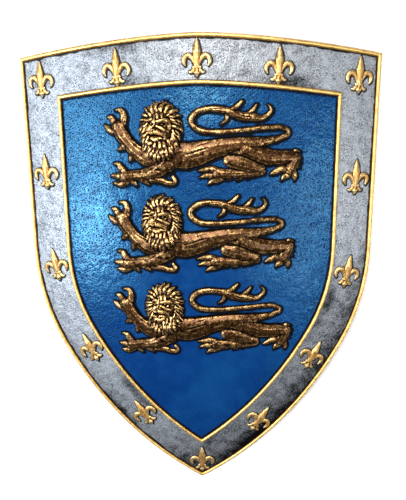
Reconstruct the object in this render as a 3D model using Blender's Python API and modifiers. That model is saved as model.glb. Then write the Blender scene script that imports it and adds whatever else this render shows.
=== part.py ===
"""Heater shield with three lions, moulded in one piece.

The shield is modelled flat, on a sheet whose u runs across, v up and h out of the front face.
The finished flat solid is then rolled onto the shield's curve and laid on its back edge, face up,
with its top edge towards +Y and its point towards -Y. Metres, +Z up, origin under the middle of
its bounding box.
"""
import math

import bmesh
import bpy
from mathutils import Matrix, Vector

# ---------------------------------------------------------------- driving dimensions
MM = 0.001

HALF_WIDTH = 0.2425          # side of the sheet, measured along the curve
PEAK_V = 0.326               # middle of the top edge
TOP_RISE = 0.024             # how far the middle of the top edge stands above the corners
TOP_BOW = 1.5                # exponent of the top edge: 1 is a straight slope, 2 a round arch
SHOULDER_V = 0.045           # where the straight sides end
SHOULDER_RADIUS = 0.302
SHOULDER_TURN = math.radians(28.4)
TIP_V = -0.327

CROSS_RADIUS = 0.818         # curve across the shield
BEND_START_V = 0.038         # below this the shield also curves back towards its point
BEND_DROP = 0.036            # how far that brings the point back

WALL = 0.005
BORDER = 0.0535              # outer edge to the outer side of the inner rim
TOP_BORDER_STRETCH = 1.06    # the border is a little wider along the top
RIM_WIDTH = 0.0058
RIM_HEIGHT = 0.0034
RIM_STEPS = 4                # facets over a rim
TOP_STEPS = 6                # facets along half the top edge
SHOULDER_STEPS = 4
LOWER_STEPS = 6              # facets from the shoulder to the point

FLEUR_TOPS = ((0.0, 0.2964, 0.0), (0.1045, 0.2862, 2.0), (0.2125, 0.2746, 2.0))
FLEUR_SIDES = ((0.2145, 0.1475, 2.0), (0.2093, 0.0155, 11.0), (0.164, -0.109, 27.7), (0.0875, -0.213, 33.4))
FLEUR_POINT = (0.0, -0.2925, 0.0)
FLEUR_HAND_SLIP = 0.0046     # the left side's fleurs sit this much higher, the right side's lower

LION_PLACES = ((0.006, 0.188), (0.003, 0.068), (0.003, -0.054))

RELIEF_FLATNESS = 0.75       # height of a relief bar over its half width
RELIEF_ROOT = 0.002          # how deep the reliefs are sunk into the shell
LION_VOXEL = 0.0015
LION_FACES = 900
FLEUR_VOXEL = 0.0009
FLEUR_FACES = 120
BAR_END_ROUNDNESS = 2        # subdivisions of the balls that round off a bar's ends
WELD = 1e-6                  # points closer than this are one point
SHARP_ANGLE = math.radians(35)

BOSS_V = 0.215               # flat boss on the back
BOSS_SIZE = (0.090, 0.060)
BOSS_DEPTH = 0.003           # how far it stands out of the hollow back
BOSS_CORNER = 0.012          # radius of its corners, seen from behind
BOSS_CORNER_STEPS = 4

ACROSS_CUTS = 10             # facets across the shield
BEND_CUTS = 6                # facets along its lower half

SHIELD_COLOUR = (0.03, 0.16, 0.42, 1.0)
SHIELD_ROUGHNESS = 0.45


# ---------------------------------------------------------------- outline of the sheet
def top_edge_v(u, inset):
    """Sheet height of the top edge at u, moved in by inset."""
    rise = TOP_RISE * (abs(u) / HALF_WIDTH) ** TOP_BOW
    return PEAK_V - rise - inset * TOP_BORDER_STRETCH


def lower_arc():
    """Centre, radius and start angle of the long arc from the shoulder to the point."""
    start = Vector((HALF_WIDTH - SHOULDER_RADIUS * (1 - math.cos(SHOULDER_TURN)),
                    SHOULDER_V - SHOULDER_RADIUS * math.sin(SHOULDER_TURN)))
    outwards = Vector((math.cos(SHOULDER_TURN), -math.sin(SHOULDER_TURN)))
    chord = Vector((0.0, TIP_V)) - start
    radius = -chord.length_squared / (2 * chord.dot(outwards))
    return start - radius * outwards, radius


def outline(inset):
    """Points of the shield's outline, moved in by inset, clockwise from the middle of the top."""
    half = []
    side = HALF_WIDTH - inset
    for step in range(TOP_STEPS):
        u = side * step / TOP_STEPS
        half.append((u, top_edge_v(u, inset)))
    half.append((side, top_edge_v(side, inset)))
    shoulder_radius = SHOULDER_RADIUS - inset
    for step in range(SHOULDER_STEPS + 1):
        turn = SHOULDER_TURN * step / SHOULDER_STEPS
        half.append((side - shoulder_radius * (1 - math.cos(turn)),
                     SHOULDER_V - shoulder_radius * math.sin(turn)))
    centre, radius = lower_arc()
    radius -= inset
    end_turn = math.acos(-centre.x / radius)
    for step in range(1, LOWER_STEPS + 1):
        turn = SHOULDER_TURN + (end_turn - SHOULDER_TURN) * step / LOWER_STEPS
        half.append((centre.x + radius * math.cos(turn), centre.y - radius * math.sin(turn)))
    other_half = [(-u, v) for u, v in reversed(half[1:-1])]
    return half[:-1] + [(0.0, half[-1][1])] + other_half


def rim_profile(start):
    """Half-round section of a rim that begins at start, as inset and height pairs."""
    pairs = []
    for step in range(RIM_STEPS + 1):
        turn = math.pi * step / RIM_STEPS
        pairs.append((start + RIM_WIDTH * (1 - math.cos(turn)) / 2, RIM_HEIGHT * math.sin(turn)))
    return pairs


# ---------------------------------------------------------------- lion, in millimetres
# Each bar is a run of (x, y, lift, half width) points; the lion's middle is at 0, 0.
LION_BODY = (
    ((-45, -12, 0, 18), (-22, -13, 0, 17), (-8, -10.5, 0, 15.5), (15, -4.5, 0, 10.5),
     (33, -1, 0, 8.5), (55, 0.5, 0, 8), (75, 0, 0, 7.5)),
    ((66, -6, 0, 9), (84, -14, 0, 10), (97, -15, 0, 8.2), (112, -15, 0, 7.2), (122, -16, 0, 7)),
    ((123, -17, 0, 7), (119, -27, 0, 5.5), (116, -36, 0, 5.5)),
    ((38, -17, 2, 8.5), (50, -22, 2, 7.8), (64, -27, 2, 6.5), (74, -31, 2, 5.5)),
    ((77, -35, 1, 4.5), (62, -37.5, 1, 4.5), (40, -38, 1, 4.8), (20, -37.5, 1, 6.5)),
    ((-107, 20, 0, 9), (-102, 11, 0, 8), (-95, 0, 0, 7.6), (-87, -8, 0, 9), (-75, -15, 0, 12),
     (-62, -18, 0, 13)),
    ((-105, -43, 0, 8), (-92, -40.5, 0, 6), (-76, -38.5, 0, 6.8), (-60, -33, 0, 10), (-46, -24, 0, 13)),
)
LION_TAIL = (
    ((70, 2, 0, 7), (88, 4.5, 0, 5), (104, 8.5, 0, 3.6), (112, 14, 0, 3.4), (105, 20, 0, 3.3),
     (92, 21, 0, 3.3), (48, 17.5, 0, 3.4), (15, 16, 0, 3.6), (-4, 19, 0, 3.9), (-14, 30, 0, 4),
     (-8, 40, 0, 4), (4, 44.5, 0, 4), (19, 44.5, 0, 4.3), (33, 42, 0, 5), (48, 36, 0, 5.5),
     (64, 34.5, 0, 6), (76, 33, 0, 4), (85, 37, 0, 3), (89, 44, 0, 2.5), (84, 51, 0, 1.2)),
    ((36, 42, 0, 4), (45, 48, 0, 3.2), (51, 54, 0, 2.4)),
    ((58, 36, 0, 4), (66, 44, 0, 2.8), (71, 51, 0, 1.4)),
    ((33, 40, 0, 3.5), (31, 31, 0, 2.6), (23, 25, 0, 1.2)),
)
LION_TUFTS = (
    ((-68, -45, 0, 4.5), (-54, -47, 0, 4), (-44, -50, 0, 3.5), (-37, -48, 0, 3), (-39, -42, 0, 2.6)),
    ((-103, -1, 0, 5), (-112, -6, 0, 1.2)),
    ((-93, -13, 0, 4.5), (-97, -22, 0, 1.2)),
    ((-94, -46, 0, 4), (-88, -54, 0, 1.2)),
    ((-80, -44, 0, 5), (-71, -52, 0, 1.2)),
)
# A toe is a root, a knuckle, an end and a claw tip.
LION_TOES = (
    ((-104, 28), (-103, 38), (-106, 44), (-115, 45)),
    ((-111, 22), (-117, 31), (-120.5, 35), (-126, 36)),
    ((-114, 17), (-121, 19), (-125, 22), (-130, 27)),
    ((-104, -37), (-109.5, -30), (-112, -26), (-120, -24)),
    ((-106, -42), (-113, -41), (-117, -40.5), (-125, -40.5)),
    ((-102, -47), (-109, -51), (-114, -51), (-121, -50)),
    ((18, -34), (12, -32), (7, -32), (-7, -34)),
    ((18, -39), (11, -40), (6, -40), (-5, -43)),
    ((24, -43), (18, -46), (14, -47), (6, -52)),
    ((116, -36), (104, -33), (96, -36), (88, -40)),
    ((115, -37), (111, -41), (108, -43), (104, -48)),
    ((118, -36), (121, -40), (122, -43), (121, -49)),
)
TOE_WIDTHS = (4.4, 3.9, 3.3, 0.8)

MANE_MIDDLE = (-54, 16)
MANE_REACH = (28, 37)        # half width and half height of the whole mane
MANE_LOCKS = 15
HEAD_BARS = (
    ((-54, 4, -6, 20), (-54, 16, -4, 25), (-54, 30, -6, 21)),
    ((-56, 31, 6, 11), (-57, 22, 8, 12), (-59, 14, 9, 9), (-60, 5, 6, 7)),
)


def lion_bars():
    """Every bar of one lion, in millimetres."""
    bars = list(LION_BODY + LION_TAIL + LION_TUFTS + HEAD_BARS)
    for toe in LION_TOES:
        bars.append([(x, y, 0, width) for (x, y), width in zip(toe, TOE_WIDTHS)])
    for lock in range(MANE_LOCKS):
        turn = 2 * math.pi * (lock + 0.5) / MANE_LOCKS
        across, up = math.cos(turn), math.sin(turn)
        bars.append([(MANE_MIDDLE[0] + reach * MANE_REACH[0] * across,
                      MANE_MIDDLE[1] + reach * MANE_REACH[1] * up, lift, width)
                     for reach, lift, width in ((0.55, 12, 4.5), (0.85, 5, 4.6), (1.08, 0, 1.5))])
    return bars


# ---------------------------------------------------------------- fleur-de-lis, in millimetres
FLEUR_MIDDLE = (
    ((0, 23.5, 0, 0.8), (0, 16, 0, 3.6), (0, 7.3, 0, 5.8), (0, -1, 0, 4.2), (0, -8, 0, 2.4)),
    ((-4.6, -10.3, 1, 1.8), (0, -10.3, 1.4, 1.8), (4.6, -10.3, 1, 1.8)),
    ((0, -11, 0, 2.2), (0, -15, 0, 2), (0, -18.9, 0, 3.4), (0, -24, 0, 0.6)),
)
FLEUR_SIDE = (
    ((2, -8, 0, 2.2), (6, -1, 0, 3.2), (11, 2.2, 0, 3.6), (15.4, -1, 0, 3.2), (16, -5.5, 0, 2.6),
     (13.5, -9.5, 0, 1)),
    ((2, -11.5, 0, 1.9), (6, -13.5, 0, 2.1), (9, -16.5, 0, 1.7), (9.5, -19, 0, 0.8)),
)


def fleur_bars():
    """Every bar of one fleur-de-lis, in millimetres."""
    bars = list(FLEUR_MIDDLE)
    for side in (1, -1):
        bars += [[(side * x, y, lift, width) for x, y, lift, width in bar] for bar in FLEUR_SIDE]
    return bars


# ---------------------------------------------------------------- modelling tools
def new_object(name, mesh, collection):
    """Object for a mesh, in a collection."""
    made = bpy.data.objects.new(name, mesh)
    collection.objects.link(made)
    return made


def evaluated_mesh(thing):
    """Mesh of an object with its modifiers applied, which takes the object's place."""
    mesh = bpy.data.meshes.new_from_object(thing.evaluated_get(bpy.context.evaluated_depsgraph_get()))
    bpy.data.objects.remove(thing)
    return mesh


def tapered_bars(name, bars, collection):
    """Mesh of round bars that follow their points, each rounded off at both ends."""
    curve = bpy.data.curves.new(name, "CURVE")
    curve.dimensions = "3D"
    curve.bevel_depth = 1.0
    curve.bevel_resolution = 2
    curve.resolution_u = 5
    curve.use_fill_caps = True
    ends = []
    for bar in bars:
        spline = curve.splines.new("BEZIER")
        spline.bezier_points.add(len(bar) - 1)
        for point, (x, y, lift, width) in zip(spline.bezier_points, bar):
            point.co = (x * MM, y * MM, lift * MM)
            point.radius = width * MM
            point.handle_left_type = "AUTO"
            point.handle_right_type = "AUTO"
        ends += [bar[0], bar[-1]]
    bm = bmesh.new()
    bm.from_mesh(evaluated_mesh(new_object(name, curve, collection)))
    bmesh.ops.remove_doubles(bm, verts=bm.verts, dist=WELD)
    for x, y, lift, width in ends:
        place = Matrix.Translation((x * MM, y * MM, lift * MM))
        bmesh.ops.create_icosphere(bm, subdivisions=BAR_END_ROUNDNESS, radius=width * MM, matrix=place)
    mesh = bpy.data.meshes.new(name)
    bm.to_mesh(mesh)
    bm.free()
    return mesh


def relief(name, bars, voxel, faces, collection):
    """One closed low relief made of bars, flattened, with a flat root under the field."""
    made = new_object(name, tapered_bars(name, bars, collection), collection)
    made.data.transform(Matrix.Diagonal((1, 1, RELIEF_FLATNESS, 1)))
    remesh = made.modifiers.new("One skin", "REMESH")
    remesh.mode = "VOXEL"
    remesh.voxel_size = voxel
    bm = bmesh.new()
    bm.from_mesh(evaluated_mesh(made))
    everything = bm.verts[:] + bm.edges[:] + bm.faces[:]
    bmesh.ops.bisect_plane(bm, geom=everything, plane_co=(0, 0, -RELIEF_ROOT), plane_no=(0, 0, -1),
                           clear_outer=True)
    bmesh.ops.holes_fill(bm, edges=[edge for edge in bm.edges if edge.is_boundary])
    bmesh.ops.triangulate(bm, faces=bm.faces)
    bmesh.ops.recalc_face_normals(bm, faces=bm.faces)
    mesh = bpy.data.meshes.new(name)
    bm.to_mesh(mesh)
    bm.free()
    made = new_object(name, mesh, collection)
    thin = made.modifiers.new("Facets", "DECIMATE")
    thin.ratio = faces / len(mesh.polygons)
    return evaluated_mesh(made)


def flat_shell(name):
    """Flat plate with the two rims, lofted inwards from the outline and closed behind."""
    section = [(0.0, -WALL)] + rim_profile(0.0) + rim_profile(BORDER)
    bm = bmesh.new()
    loops = [[bm.verts.new((u, v, height)) for u, v in outline(inset)] for inset, height in section]
    for low, high in zip(loops, loops[1:]):
        for here in range(len(low)):
            after = (here + 1) % len(low)
            bm.faces.new((low[here], low[after], high[after], high[here]))
    bm.faces.new(loops[-1])
    bm.faces.new(reversed(loops[0]))
    for cut in range(1, ACROSS_CUTS):
        u = HALF_WIDTH * (2 * cut / ACROSS_CUTS - 1)
        bmesh.ops.bisect_plane(bm, geom=bm.verts[:] + bm.edges[:] + bm.faces[:],
                               plane_co=(u, 0, 0), plane_no=(1, 0, 0))
    for cut in range(BEND_CUTS):
        v = BEND_START_V + (TIP_V - BEND_START_V) * cut / BEND_CUTS
        bmesh.ops.bisect_plane(bm, geom=bm.verts[:] + bm.edges[:] + bm.faces[:],
                               plane_co=(0, v, 0), plane_no=(0, 1, 0))
    bmesh.ops.triangulate(bm, faces=bm.faces)
    bmesh.ops.recalc_face_normals(bm, faces=bm.faces)
    mesh = bpy.data.meshes.new(name)
    bm.to_mesh(mesh)
    bm.free()
    return mesh


def placed_copy(mesh, u, v, lean_degrees, collection):
    """Copy of a relief at a place on the sheet, leaning clockwise by lean_degrees."""
    copy = mesh.copy()
    copy.transform(Matrix.Translation((u, v, 0)) @ Matrix.Rotation(-math.radians(lean_degrees), 4, "Z"))
    return new_object(mesh.name, copy, collection)


def joined(target, tool):
    """Two objects as one solid mesh; both objects are used up."""
    union = target.modifiers.new("Join", "BOOLEAN")
    union.operation = "UNION"
    union.object = tool
    mesh = evaluated_mesh(target)
    bpy.data.objects.remove(tool)
    return mesh


def on_the_curve(point):
    """Where a point of the flat sheet lies on the curved shield."""
    bend_length = BEND_START_V - TIP_V
    bend_radius = bend_length ** 2 / (2 * BEND_DROP)
    across = point.x / CROSS_RADIUS
    along = min(0.0, point.y - BEND_START_V) / bend_radius
    base = Vector((CROSS_RADIUS * math.sin(across),
                   max(point.y, BEND_START_V) + bend_radius * math.sin(along),
                   CROSS_RADIUS * (math.cos(across) - 1) + bend_radius * (math.cos(along) - 1)))
    outwards = Vector((math.sin(across) * math.cos(along), math.cos(across) * math.sin(along),
                       math.cos(across) * math.cos(along)))
    return base + point.z * outwards.normalized()


def lay_down(mesh):
    """Move a mesh so that its box stands on the origin."""
    points = [vertex.co for vertex in mesh.vertices]
    lowest = Vector([min(point[axis] for point in points) for axis in range(3)])
    highest = Vector([max(point[axis] for point in points) for axis in range(3)])
    shift = Vector((-(lowest.x + highest.x) / 2, -(lowest.y + highest.y) / 2, -lowest.z))
    mesh.transform(Matrix.Translation(shift))
    return shift


def painted(name, colour, roughness):
    """Principled material of one colour."""
    material = bpy.data.materials.new(name)
    material.use_nodes = True
    shader = material.node_tree.nodes["Principled BSDF"]
    shader.inputs["Base Color"].default_value = colour
    shader.inputs["Roughness"].default_value = roughness
    return material


# ---------------------------------------------------------------- the shield
def fleur_places():
    """Place and lean of each of the fourteen fleurs-de-lis."""
    places = [FLEUR_TOPS[0], FLEUR_POINT]
    for side in (1, -1):
        places += [(side * u, v, side * lean) for u, v, lean in FLEUR_TOPS[1:]]
        places += [(side * u, v - side * FLEUR_HAND_SLIP, side * lean) for u, v, lean in FLEUR_SIDES]
    return places


def build_shield():
    """The whole moulding: flat shell, reliefs joined on, rolled to its curve, boss behind."""
    shield_collection = bpy.data.collections.new("Heater shield")
    tool_collection = bpy.data.collections.new("Cutters")
    for collection in (shield_collection, tool_collection):
        bpy.context.scene.collection.children.link(collection)

    lion = relief("lion", lion_bars(), LION_VOXEL, LION_FACES, tool_collection)
    fleur = relief("fleur", fleur_bars(), FLEUR_VOXEL, FLEUR_FACES, tool_collection)
    places = [(fleur, *place) for place in fleur_places()] + [(lion, u, v, 0) for u, v in LION_PLACES]
    mesh = flat_shell("shield")
    for ornament, u, v, lean in places:
        tool = placed_copy(ornament, u, v, lean, tool_collection)
        mesh = joined(new_object("shield", mesh, shield_collection), tool)

    for vertex in mesh.vertices:
        vertex.co = on_the_curve(vertex.co)
    shift = lay_down(mesh)

    bm = bmesh.new()
    back = on_the_curve(Vector((0, BOSS_V, -WALL))) + shift
    size = Matrix.Diagonal((*BOSS_SIZE, 2 * BOSS_DEPTH, 1))
    bmesh.ops.create_cube(bm, size=1.0, matrix=Matrix.Translation(back) @ size)
    upright = [edge for edge in bm.edges if abs(edge.verts[0].co.z - edge.verts[1].co.z) > BOSS_DEPTH]
    bmesh.ops.bevel(bm, geom=upright, offset=BOSS_CORNER, segments=BOSS_CORNER_STEPS,
                     profile=0.5, affect="EDGES")
    boss = bpy.data.meshes.new("boss")
    bm.to_mesh(boss)
    bm.free()
    mesh = joined(new_object("shield", mesh, shield_collection), new_object("boss", boss, tool_collection))

    shield = new_object("shield", mesh, shield_collection)
    mesh.materials.clear()
    mesh.materials.append(painted("Painted moulding", SHIELD_COLOUR, SHIELD_ROUGHNESS))
    mesh.shade_smooth()
    mesh.set_sharp_from_angle(angle=SHARP_ANGLE)
    return shield


for old in list(bpy.data.objects):
    bpy.data.objects.remove(old)
build_shield()
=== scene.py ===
"""Heater shield with three lions: the painted and antiqued surface of a one-piece moulding.

Everything on the front is shaped flat, on a sheet whose first axis runs across, second axis up and
third axis out of the front face, and is then rolled onto the shield's curve. The shield lies face
up, its top edge towards +Y and its point towards -Y.
"""

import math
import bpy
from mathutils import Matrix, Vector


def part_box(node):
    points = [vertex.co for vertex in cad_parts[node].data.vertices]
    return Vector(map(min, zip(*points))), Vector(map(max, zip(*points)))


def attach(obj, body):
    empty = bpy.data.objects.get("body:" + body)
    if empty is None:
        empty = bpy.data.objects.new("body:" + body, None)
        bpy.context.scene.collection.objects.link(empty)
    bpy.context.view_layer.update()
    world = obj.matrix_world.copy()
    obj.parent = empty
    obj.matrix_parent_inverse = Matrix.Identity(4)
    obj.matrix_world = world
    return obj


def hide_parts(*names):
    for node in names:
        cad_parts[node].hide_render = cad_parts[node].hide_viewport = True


bl_info = {
    "name": "Heater shield",
    "version": (1, 0, 0),
    "blender": (4, 5, 0),
    "location": "3D View > Sidebar > Shield",
    "description": "Builds a moulded heater shield with lions, fleurs-de-lis and gilt rims",
    "category": "Object",
}

import bmesh
import bpy
import numpy as np
from bpy.props import FloatProperty, FloatVectorProperty, PointerProperty
from mathutils import Matrix, Vector
from mathutils.bvhtree import BVHTree
from mathutils.kdtree import KDTree

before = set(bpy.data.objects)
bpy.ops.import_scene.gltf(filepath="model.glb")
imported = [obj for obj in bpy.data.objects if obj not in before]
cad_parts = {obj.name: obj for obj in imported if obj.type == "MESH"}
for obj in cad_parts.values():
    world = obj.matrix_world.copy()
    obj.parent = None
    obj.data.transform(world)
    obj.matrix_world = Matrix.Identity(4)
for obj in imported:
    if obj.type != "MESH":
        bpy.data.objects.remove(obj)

NODE = "shield"
BODY = "root"
CAD_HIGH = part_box(NODE)[1]
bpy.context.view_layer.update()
MM = 0.001

# ---------------------------------------------------------------- the sheet, in metres
HALF_WIDTH = 0.2425
PEAK_V = 0.326
TOP_RISE = 0.024
TOP_BOW = 1.5
TOP_BORDER_STRETCH = 1.06
SHOULDER_V = 0.045
SHOULDER_RADIUS = 0.302
SHOULDER_TURN = math.radians(28.4)
TIP_V = -0.327
CROSS_RADIUS = 0.818
BEND_START_V = 0.038
BEND_DROP = 0.036
BEND_RADIUS = (BEND_START_V - TIP_V) ** 2 / (2 * BEND_DROP)
STATION_LENGTHS = (0.244, 0.257, 0.150, 0.308)    # top, side, shoulder and lower arc of one half
BOSS_V = 0.215
BOSS_SIZE = (0.090, 0.060)
BOSS_DEPTH = 0.003
BOSS_CORNER = 0.012
BOSS_EDGE = 0.0008
BACK_SHARP_ANGLE = math.radians(35)

LION_PLACES = ((0.006, 0.188, 1.0), (0.003, 0.068, 0.975), (0.003, -0.054, 0.97))
FLEUR_TOPS = ((0.1045, 0.2862, 2.0), (0.2125, 0.2746, 2.0))
FLEUR_SIDES = ((0.2145, 0.1475, 2.0), (0.2093, 0.0155, 11.0), (0.164, -0.109, 27.7), (0.0875, -0.213, 33.4))
FLEUR_MIDDLES = ((0.0, 0.2964, 0.0), (0.0, -0.2925, 0.0))
FLEUR_HAND_SLIP = 0.0046
RELIEF_FLATNESS = 0.75
RELIEF_ROOT = 0.002

FIELD_CELL = 0.00128
BORDER_CELL = 0.00112
RIM_CELL = 0.003
BACK_CELL = 0.012
FIELD_UNDERSIDE_CELL = 0.03
COARSE_RELIEF = 0.0015    # of the plain lion that the locks are laid on
UNDERSIDE = -0.0023       # hidden underside of the border and the field
BACK_TOP = -0.0025        # hidden top face of the shell behind them
RIM_UNDERSIDE = -0.0015
OUTER_RIM_UNDERSIDE = -0.0036
RIM_STEPS = 10


def length_property(name, description, default):
    """A length in metres that a user can change."""
    return FloatProperty(name=name, description=description, default=default, unit="LENGTH")


class ShieldSizes(bpy.types.PropertyGroup):
    """Sizes of the moulding's finer work."""

    wall: length_property("Wall", "Thickness of the shell", 0.005)
    border: length_property("Border", "Outer edge to the inner rim", 0.0535)
    rim_width: length_property("Rim width", "Width of the half-round rims", 0.0058)
    rim_height: length_property("Rim height", "How far the rims stand out", 0.0034)
    pit_spacing: length_property("Pit spacing", "Distance between the field's pits", 0.0029)
    pit_depth: length_property("Pit depth", "Depth of the field's pits", 0.0003)
    hammer_spacing: length_property("Hammer spacing", "Distance between the border's dents", 0.0027)
    hammer_depth: length_property("Hammer depth", "Depth of the border's dents", 0.0003)
    lion_grain: length_property("Lion grain", "Finest detail on the lions", 0.00075)
    fleur_grain: length_property("Fleur grain", "Finest detail on the fleurs-de-lis", 0.0007)


def colour_property(name, description, default):
    """A colour that a user can pick."""
    return FloatVectorProperty(name=name, description=description, default=default, size=3,
                               min=0.0, max=1.0, subtype="COLOR")


class ShieldPaints(bpy.types.PropertyGroup):
    """Colours of the paints, the washes and the painted shadow."""

    field: colour_property("Field blue", "Paint of the field", (0.0006, 0.027, 0.147))
    field_rub: colour_property("Field rub", "Lighter blue rubbed over the field's high spots",
                               (0.015, 0.16, 0.40))
    silver: colour_property("Silver", "Paint of the border", (0.385, 0.415, 0.465))
    gold: colour_property("Gold", "Paint of the rims and fleurs-de-lis", (0.98, 0.66, 0.22))
    cream: colour_property("Cream", "Pale gold rubbed over the fleurs-de-lis", (1.0, 0.80, 0.43))
    bronze: colour_property("Bronze", "Ground paint of the lions", (0.085, 0.033, 0.008))
    bronze_rub: colour_property("Bronze rub", "Gold rubbed over the lions' high spots",
                                (1.0, 0.62, 0.24))
    # This dark colour is also the colour of the painted shadows and painted shade at the foot of the reliefs
    # and rims.
    wash_and_shadow: colour_property("Wash", "Dark wash left in the hollows", (0.0045, 0.004, 0.0045))
    back: colour_property("Back", "Paint of the hollow back", (0.022, 0.022, 0.025))
    floor: colour_property("Floor", "Floor under the shield", (1.0, 0.99, 0.98))


# ---------------------------------------------------------------- outline and curve
def top_edge_v(u, inset):
    """Height of the top edge at u, moved in by inset."""
    return PEAK_V - TOP_RISE * (np.abs(u) / HALF_WIDTH) ** TOP_BOW - inset * TOP_BORDER_STRETCH


def lower_arc():
    """Centre and radius of the long arc from the shoulder to the point."""
    start = Vector((HALF_WIDTH - SHOULDER_RADIUS * (1 - math.cos(SHOULDER_TURN)),
                    SHOULDER_V - SHOULDER_RADIUS * math.sin(SHOULDER_TURN)))
    outwards = Vector((math.cos(SHOULDER_TURN), -math.sin(SHOULDER_TURN)))
    chord = Vector((0.0, TIP_V)) - start
    radius = -chord.length_squared / (2 * chord.dot(outwards))
    return start - radius * outwards, radius


def stations(step):
    """Fractions of the way round the outline, about step apart, with one at every corner."""
    ends = np.cumsum((0.0,) + STATION_LENGTHS) / sum(STATION_LENGTHS)
    half = [0.0]
    for length, start, end in zip(STATION_LENGTHS, ends, ends[1:]):
        count = max(2, round(length / step))
        half += list(start + (end - start) * np.arange(1, count + 1) / count)
    half = np.array(half) / 2
    return np.concatenate([half, 1 - half[-2::-1]])


def outline_at(station, inset):
    """Sheet position at each station of the outline, moved in by inset."""
    station, inset = np.broadcast_arrays(station, inset)
    way = 2 * np.minimum(station, 1 - station)
    ends = np.cumsum(STATION_LENGTHS) / sum(STATION_LENGTHS)
    part = [np.clip((way - start) / (end - start), 0, 1)
            for start, end in zip((0.0, *ends), ends)]
    side = HALF_WIDTH - inset
    corner_v = top_edge_v(side, inset)
    shoulder_turn = SHOULDER_TURN * part[2]
    shoulder_radius = SHOULDER_RADIUS - inset
    centre, radius = lower_arc()
    radius = radius - inset
    lower_turn = SHOULDER_TURN + (np.arccos(-centre.x / radius) - SHOULDER_TURN) * part[3]
    runs = [way <= ends[0], way <= ends[1], way <= ends[2], way > ends[2]]
    u = np.select(runs, [side * part[0], side, side - shoulder_radius * (1 - np.cos(shoulder_turn)),
                         centre.x + radius * np.cos(lower_turn)])
    v = np.select(runs, [top_edge_v(side * part[0], inset),
                         corner_v + (SHOULDER_V - corner_v) * part[1],
                         SHOULDER_V - shoulder_radius * np.sin(shoulder_turn),
                         centre.y - radius * np.sin(lower_turn)])
    return np.where(station <= 0.5, u, -u), v


def crown_height():
    """Height of the middle of the front face above the floor."""
    wall = bpy.context.scene.shield_sizes.wall
    side = HALF_WIDTH / CROSS_RADIUS
    tip = (BEND_START_V - TIP_V) / BEND_RADIUS
    return max(CROSS_RADIUS * (1 - math.cos(side)) + wall * math.cos(side),
               BEND_RADIUS * (1 - math.cos(tip)) + wall * math.cos(tip))


def on_the_curve(flat):
    """Where points of the flat sheet lie on the curved shield."""
    across = flat[:, 0] / CROSS_RADIUS
    along = np.minimum(0.0, flat[:, 1] - BEND_START_V) / BEND_RADIUS
    base = np.stack([CROSS_RADIUS * np.sin(across),
                     np.maximum(flat[:, 1], BEND_START_V) + BEND_RADIUS * np.sin(along)
                     + CAD_HIGH.y - PEAK_V,
                     CROSS_RADIUS * (np.cos(across) - 1) + BEND_RADIUS * (np.cos(along) - 1)
                     + crown_height()], 1)
    outwards = np.stack([np.sin(across) * np.cos(along), np.cos(across) * np.sin(along),
                         np.cos(across) * np.cos(along)], 1)
    outwards /= np.linalg.norm(outwards, axis=1, keepdims=True)
    return base + flat[:, 2:] * outwards


# ---------------------------------------------------------------- pits and cloudy patterns
# A grid of pits with every other row set over by half: one pit to a cell, moved and sized by chance.
CHANCE_STEPS = ((1.31, 2.17), (2.43, 1.19), (1.73, 2.89))
CHANCE_SCALE = 97.0
PIT_SHIFT = 0.6
PIT_REACH = 0.25
PIT_SIZES = (0.55, 0.9)   # the smallest pit's share of the reach, and what chance adds
GRID_TURN = 0.45          # the grid leans by this, in radians
WAVER = 0.0014            # how far the paint in the pits wavers


def mark_grid(mesh, u, v):
    """Store the leaning grid's coordinates, in metres, and return them."""
    along = u * math.cos(GRID_TURN) + v * math.sin(GRID_TURN)
    across = v * math.cos(GRID_TURN) - u * math.sin(GRID_TURN)
    mark(mesh, "grid_u", along)
    mark(mesh, "grid_v", across)
    return along, across


def pit_distance(u, v, spacing):
    """How far each place is from its cell's pit, in pit radii; Paint.pit_distance does the same sum."""
    row = np.floor(v / spacing)
    along = u / spacing + 0.5 * row
    cell = np.floor(along)
    chances = [np.mod(np.sin(cell * a + row * b) * CHANCE_SCALE, 1) for a, b in CHANCE_STEPS]
    across = along - cell - 0.5 - (chances[0] - 0.5) * PIT_SHIFT
    up = v / spacing - row - 0.5 - (chances[1] - 0.5) * PIT_SHIFT
    return np.hypot(across, up) / (PIT_REACH * (PIT_SIZES[0] + PIT_SIZES[1] * chances[2]))


CLOUD_REACH = 0.6         # a cloudy pattern covers this much either side of the middle
CLOUD_FADING = 0.6        # each finer layer's strength beside the last one's


def cloud(u, v, size, seed, layers=2):
    """Smooth uneven pattern between about -1 and 1, with patches of about the given size."""
    total = np.zeros_like(u)
    for layer in range(layers):
        random = np.random.default_rng(seed + layer)
        cell = size / 2 ** layer
        count = int(2 * CLOUD_REACH / cell) + 3
        values = random.uniform(-1, 1, (count, count))
        x, y = (u + CLOUD_REACH) / cell, (v + CLOUD_REACH) / cell
        i, j = np.floor(x).astype(int), np.floor(y).astype(int)
        i, j = np.clip(i, 0, count - 2), np.clip(j, 0, count - 2)
        fx, fy = np.clip(x - i, 0, 1), np.clip(y - j, 0, 1)
        fx, fy = fx * fx * (3 - 2 * fx), fy * fy * (3 - 2 * fy)
        low = values[i, j] * (1 - fx) + values[i + 1, j] * fx
        high = values[i, j + 1] * (1 - fx) + values[i + 1, j + 1] * fx
        total += (low * (1 - fy) + high * fy) * CLOUD_FADING ** layer
    return total


def fade(value, start, end):
    """0 below start, 1 above end, smooth between; start may be the larger."""
    part = np.clip((value - start) / (end - start), 0, 1)
    return part * part * (3 - 2 * part)


# ---------------------------------------------------------------- mesh tools
def positions(mesh):
    """The mesh's points as rows of an array."""
    found = np.empty(len(mesh.vertices) * 3)
    mesh.vertices.foreach_get("co", found)
    return found.reshape(-1, 3)


def move_points(mesh, places):
    """Put every point of the mesh at its row of the array."""
    mesh.vertices.foreach_set("co", np.ascontiguousarray(places, dtype=np.float32).ravel())
    mesh.update()


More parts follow.
